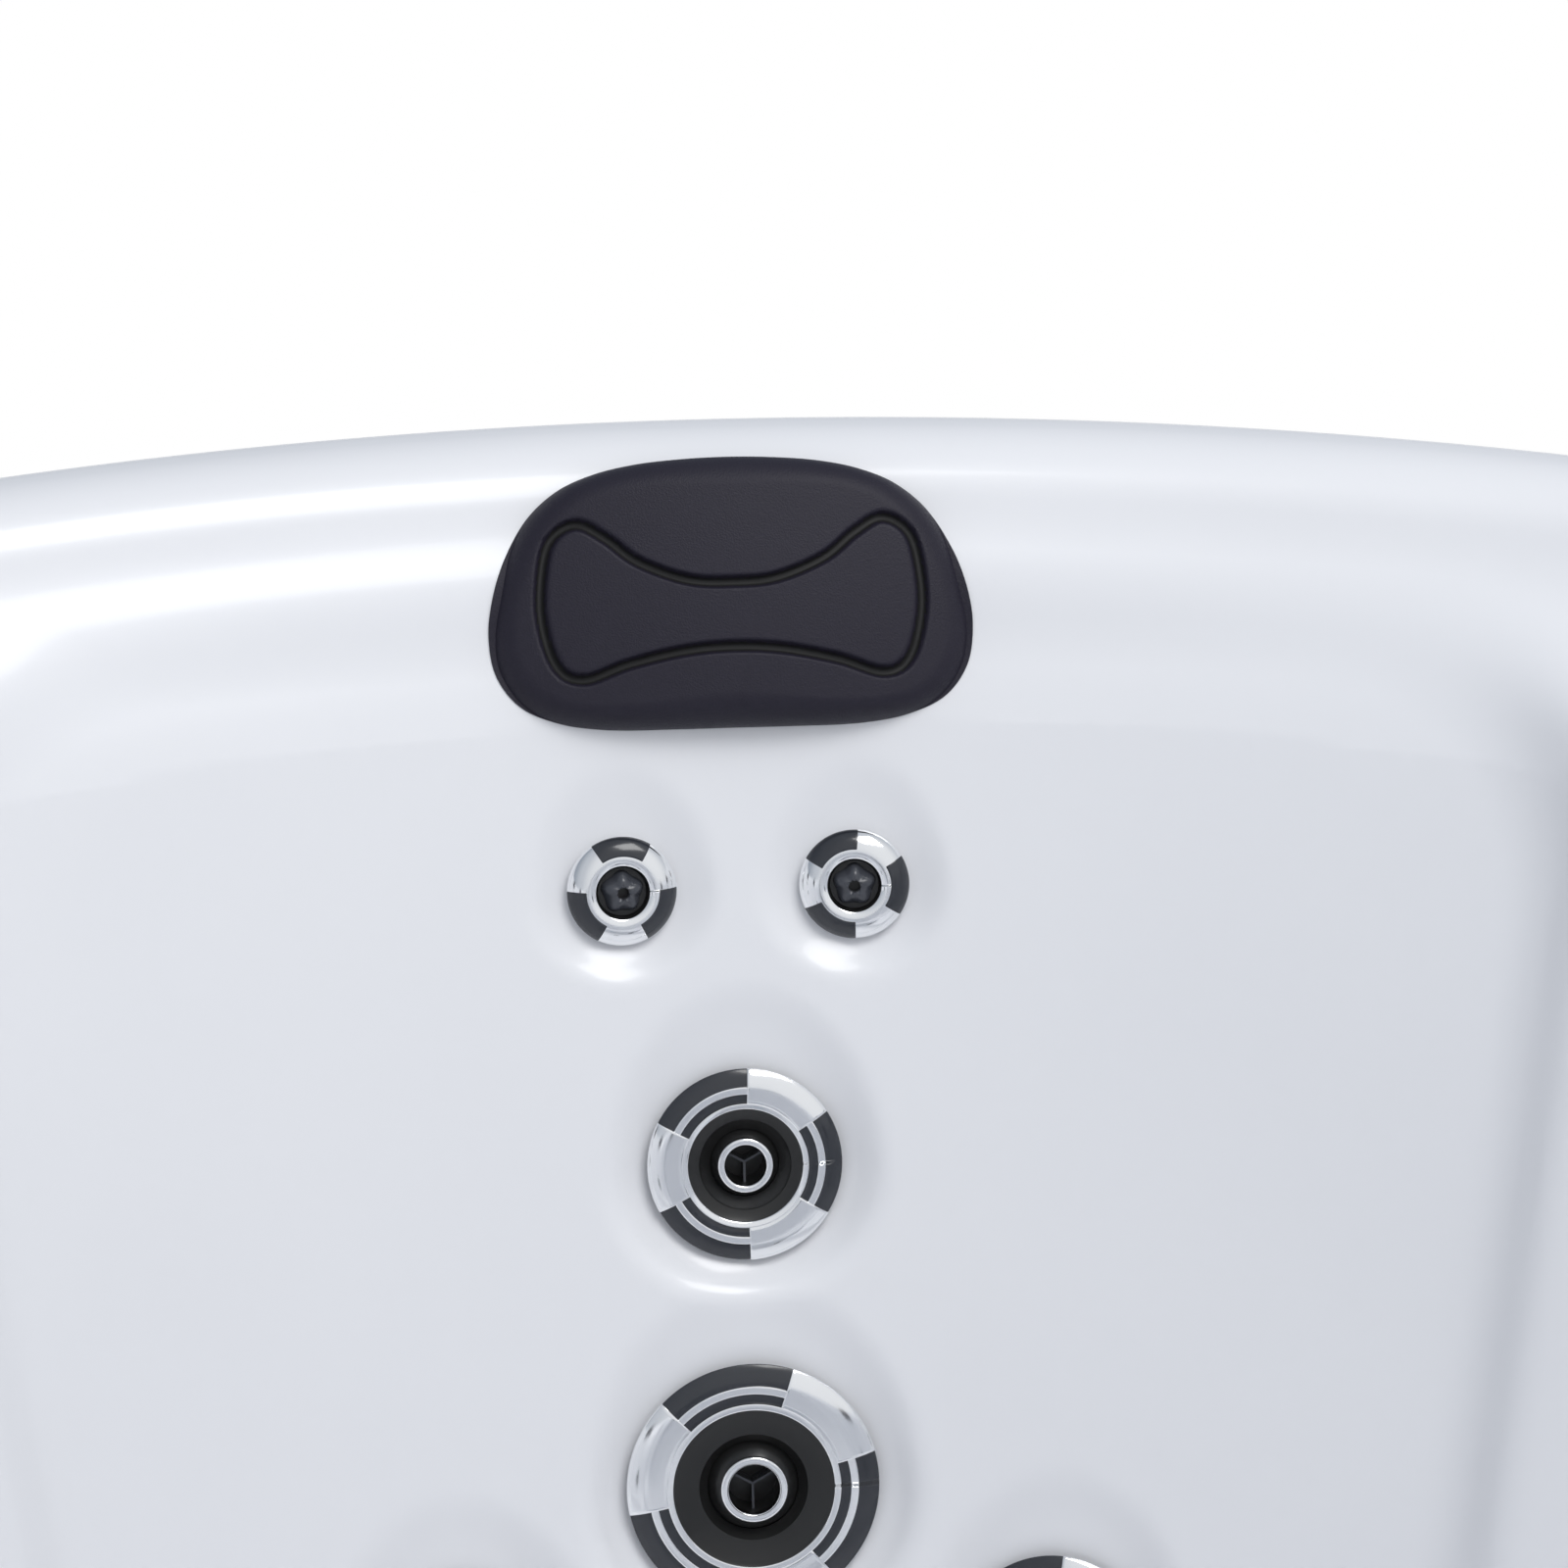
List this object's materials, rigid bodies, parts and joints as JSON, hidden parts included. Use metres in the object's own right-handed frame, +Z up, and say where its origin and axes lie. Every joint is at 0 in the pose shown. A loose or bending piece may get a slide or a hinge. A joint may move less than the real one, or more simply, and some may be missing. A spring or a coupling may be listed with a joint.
{
  "type": "hot tub",
  "caption": "Round moulded hot tub with seats, head pillows, turning hydrotherapy jets, filter well, control deck and a panelled cabinet with a pull-out front",
  "frame": {"origin": "middle of the underside, on the floor", "axes": "+Z up, the pictured seat is at +Y, the console with filter and controls is at -Y, +X is to the right seen from the console side"},
  "size_m": [2.1, 2.1, 0.9651],
  "materials": {
    "acrylic": "gloss",
    "pillow": "satin",
    "jet_chrome": "polished",
    "jet_dark": "gloss",
    "pipework": "satin",
    "seal": "matt",
    "cabinet": "matt",
    "trim": "satin",
    "base": "matt",
    "frame": "matt",
    "filter_paper": "matt",
    "console_trim": "satin",
    "display": "gloss",
    "lens": "gloss",
    "equipment": "satin",
    "heater_steel": "brushed"
  },
  "bodies": {
    "tub": {"base_pan": "base", "control_box": "equipment", "control_panel": "console_trim", "display_lens": "display", "drain_valve": "pipework", "east_front_pillow": "pillow", "east_pillow": "pillow", "feed_pipes": "pipework", "filter_housing": "pipework", "frame_posts": "frame", "frame_rings": "frame", "heater": "heater_steel", "jet_gaskets": "seal", "light_lens": "lens", "mid_jet_bodies": "pipework", "neck_jet_bodies": "pipework", "panel_trims": "trim", "pillow": "pillow", "power_jet_bodies": "pipework", "pump_motor": "equipment", "pump_wet_end": "equipment", "skirt_panels": "cabinet", "suction_covers": "console_trim", "tub_shell": "acrylic", "valve_bodies": "pipework", "water_ring_main": "pipework", "west_front_pillow": "pillow", "west_pillow": "pillow"},
    "neck_jet_left": {"neck_jet_left": "jet_chrome"},
    "neck_jet_right": {"neck_jet_right": "jet_chrome"},
    "back_jet_face": {"back_jet_face": "jet_chrome"},
    "back_jet_nozzle": {"back_jet_nozzle": "jet_dark"},
    "lumbar_jet_face": {"lumbar_jet_face": "jet_chrome"},
    "lumbar_jet_nozzle": {"lumbar_jet_nozzle": "jet_dark"},
    "hip_jet_left_face": {"hip_jet_left_face": "jet_chrome"},
    "hip_jet_left_nozzle": {"hip_jet_left_nozzle": "jet_dark"},
    "hip_jet_right_face": {"hip_jet_right_face": "jet_chrome"},
    "hip_jet_right_nozzle": {"hip_jet_right_nozzle": "jet_dark"},
    "east_neck_jet_left": {"east_neck_jet_left": "jet_chrome"},
    "east_neck_jet_right": {"east_neck_jet_right": "jet_chrome"},
    "east_back_jet_face": {"east_back_jet_face": "jet_chrome"},
    "east_back_jet_nozzle": {"east_back_jet_nozzle": "jet_dark"},
    "west_neck_jet_left": {"west_neck_jet_left": "jet_chrome"},
    "west_neck_jet_right": {"west_neck_jet_right": "jet_chrome"},
    "west_back_jet_face": {"west_back_jet_face": "jet_chrome"},
    "west_back_jet_nozzle": {"west_back_jet_nozzle": "jet_dark"},
    "east_lumbar_jet_face": {"east_lumbar_jet_face": "jet_chrome"},
    "east_lumbar_jet_nozzle": {"east_lumbar_jet_nozzle": "jet_dark"},
    "west_lumbar_jet_face": {"west_lumbar_jet_face": "jet_chrome"},
    "west_lumbar_jet_nozzle": {"west_lumbar_jet_nozzle": "jet_dark"},
    "access_panel": {"access_panel": "cabinet"},
    "filter": {"filter_lid": "console_trim", "filter_cartridge": "filter_paper"},
    "weir_door": {"weir_door": "console_trim"},
    "control_key_1": {"control_key_1": "console_trim"},
    "control_key_2": {"control_key_2": "console_trim"},
    "control_key_3": {"control_key_3": "console_trim"},
    "control_key_4": {"control_key_4": "console_trim"},
    "diverter_knob": {"diverter_knob": "console_trim"},
    "air_knob": {"air_knob": "console_trim"}
  },
  "joints": [
    {"name": "neck_jet_left_turn", "type": "hinge", "parent": "tub", "child": "neck_jet_left", "pos_m": [-0.05951, 0.9116, 0.75731], "axis": [0.0727, -0.9676, 0.2419], "range_deg": [0, 90]},
    {"name": "neck_jet_right_turn", "type": "hinge", "parent": "tub", "child": "neck_jet_right", "pos_m": [0.05951, 0.9116, 0.75731], "axis": [-0.0727, -0.9676, 0.2419], "range_deg": [0, 90]},
    {"name": "back_jet_turn", "type": "hinge", "parent": "tub", "child": "back_jet_face", "pos_m": [0, 0.86798, 0.62258], "axis": [0, -0.9703, 0.2419], "range_deg": [0, 110]},
    {"name": "back_jet_aim", "type": "hinge", "parent": "back_jet_face", "child": "back_jet_nozzle", "pos_m": [0, 0.87574, 0.62065], "axis": [1, 0, 0], "range_deg": [-12, 12]},
    {"name": "lumbar_jet_turn", "type": "hinge", "parent": "tub", "child": "lumbar_jet_face", "pos_m": [0, 0.81217, 0.46634], "axis": [0, -0.9703, 0.2419], "range_deg": [0, 110]},
    {"name": "lumbar_jet_aim", "type": "hinge", "parent": "lumbar_jet_face", "child": "lumbar_jet_nozzle", "pos_m": [0, 0.82187, 0.46392], "axis": [1, 0, 0], "range_deg": [-12, 12]},
    {"name": "hip_jet_left_turn", "type": "hinge", "parent": "tub", "child": "hip_jet_left_face", "pos_m": [-0.15223, 0.76584, 0.39058], "axis": [0.2226, -0.9444, 0.2419], "range_deg": [0, 110]},
    {"name": "hip_jet_left_aim", "type": "hinge", "parent": "hip_jet_left_face", "child": "hip_jet_left_nozzle", "pos_m": [-0.15401, 0.77339, 0.38865], "axis": [0.9733, 0.2294, 0], "range_deg": [-12, 12]},
    {"name": "hip_jet_right_turn", "type": "hinge", "parent": "tub", "child": "hip_jet_right_face", "pos_m": [0.15223, 0.76584, 0.39058], "axis": [-0.2226, -0.9444, 0.2419], "range_deg": [0, 110]},
    {"name": "hip_jet_right_aim", "type": "hinge", "parent": "hip_jet_right_face", "child": "hip_jet_right_nozzle", "pos_m": [0.15401, 0.77339, 0.38865], "axis": [0.9733, -0.2294, 0], "range_deg": [-12, 12]},
    {"name": "east_neck_jet_left_turn", "type": "hinge", "parent": "tub", "child": "east_neck_jet_left", "pos_m": [0.75972, 0.50734, 0.75731], "axis": [-0.8016, -0.5468, 0.2419], "range_deg": [0, 90]},
    {"name": "east_neck_jet_right_turn", "type": "hinge", "parent": "tub", "child": "east_neck_jet_right", "pos_m": [0.81923, 0.40427, 0.75731], "axis": [-0.8743, -0.4208, 0.2419], "range_deg": [0, 90]},
    {"name": "east_back_jet_turn", "type": "hinge", "parent": "tub", "child": "east_back_jet_face", "pos_m": [0.74539, 0.43035, 0.60258], "axis": [-0.8403, -0.4851, 0.2419], "range_deg": [0, 110]},
    {"name": "east_back_jet_aim", "type": "hinge", "parent": "east_back_jet_face", "child": "east_back_jet_nozzle", "pos_m": [0.75211, 0.43423, 0.60064], "axis": [0.5, -0.866, 0], "range_deg": [-12, 12]},
    {"name": "west_neck_jet_left_turn", "type": "hinge", "parent": "tub", "child": "west_neck_jet_left", "pos_m": [-0.81923, 0.40427, 0.75731], "axis": [0.8743, -0.4208, 0.2419], "range_deg": [0, 90]},
    {"name": "west_neck_jet_right_turn", "type": "hinge", "parent": "tub", "child": "west_neck_jet_right", "pos_m": [-0.75972, 0.50734, 0.75731], "axis": [0.8016, -0.5468, 0.2419], "range_deg": [0, 90]},
    {"name": "west_back_jet_turn", "type": "hinge", "parent": "tub", "child": "west_back_jet_face", "pos_m": [-0.74539, 0.43035, 0.60258], "axis": [0.8403, -0.4851, 0.2419], "range_deg": [0, 110]},
    {"name": "west_back_jet_aim", "type": "hinge", "parent": "west_back_jet_face", "child": "west_back_jet_nozzle", "pos_m": [-0.75211, 0.43423, 0.60064], "axis": [0.5, 0.866, 0], "range_deg": [-12, 12]},
    {"name": "east_lumbar_jet_turn", "type": "hinge", "parent": "tub", "child": "east_lumbar_jet_face", "pos_m": [0.70336, -0.40608, 0.46634], "axis": [-0.8403, 0.4851, 0.2419], "range_deg": [0, 110]},
    {"name": "east_lumbar_jet_aim", "type": "hinge", "parent": "east_lumbar_jet_face", "child": "east_lumbar_jet_nozzle", "pos_m": [0.71176, -0.41093, 0.46392], "axis": [-0.5, -0.866, 0], "range_deg": [-12, 12]},
    {"name": "west_lumbar_jet_turn", "type": "hinge", "parent": "tub", "child": "west_lumbar_jet_face", "pos_m": [-0.70336, -0.40608, 0.46634], "axis": [0.8403, 0.4851, 0.2419], "range_deg": [0, 110]},
    {"name": "west_lumbar_jet_aim", "type": "hinge", "parent": "west_lumbar_jet_face", "child": "west_lumbar_jet_nozzle", "pos_m": [-0.71176, -0.41093, 0.46392], "axis": [-0.5, 0.866, 0], "range_deg": [-12, 12]},
    {"name": "access_panel_pull", "type": "slide", "parent": "tub", "child": "access_panel", "axis": [0, -1, 0], "range_m": [0, 0.4]},
    {"name": "filter_lid_lift", "type": "slide", "parent": "tub", "child": "filter", "axis": [0, 0, 1], "range_m": [0, 0.45]},
    {"name": "weir_swing", "type": "hinge", "parent": "tub", "child": "weir_door", "pos_m": [-0.14, -0.713, 0.7655], "axis": [1, 0, 0], "range_deg": [0, 75]},
    {"name": "control_key_1_press", "type": "slide", "parent": "tub", "child": "control_key_1", "axis": [0, 0, -1], "range_m": [0, 0.0015], "stiffness_N_per_m": 1500},
    {"name": "control_key_2_press", "type": "slide", "parent": "tub", "child": "control_key_2", "axis": [0, 0, -1], "range_m": [0, 0.0015], "stiffness_N_per_m": 1500},
    {"name": "control_key_3_press", "type": "slide", "parent": "tub", "child": "control_key_3", "axis": [0, 0, -1], "range_m": [0, 0.0015], "stiffness_N_per_m": 1500},
    {"name": "control_key_4_press", "type": "slide", "parent": "tub", "child": "control_key_4", "axis": [0, 0, -1], "range_m": [0, 0.0015], "stiffness_N_per_m": 1500},
    {"name": "diverter_knob_turn", "type": "hinge", "parent": "tub", "child": "diverter_knob", "pos_m": [0.105, -0.88, 0.885], "axis": [0, 0, 1], "range_deg": [0, 180]},
    {"name": "air_knob_turn", "type": "hinge", "parent": "tub", "child": "air_knob", "pos_m": [0.215, -0.852, 0.885], "axis": [0, 0, 1], "range_deg": [0, 90]}
  ]
}
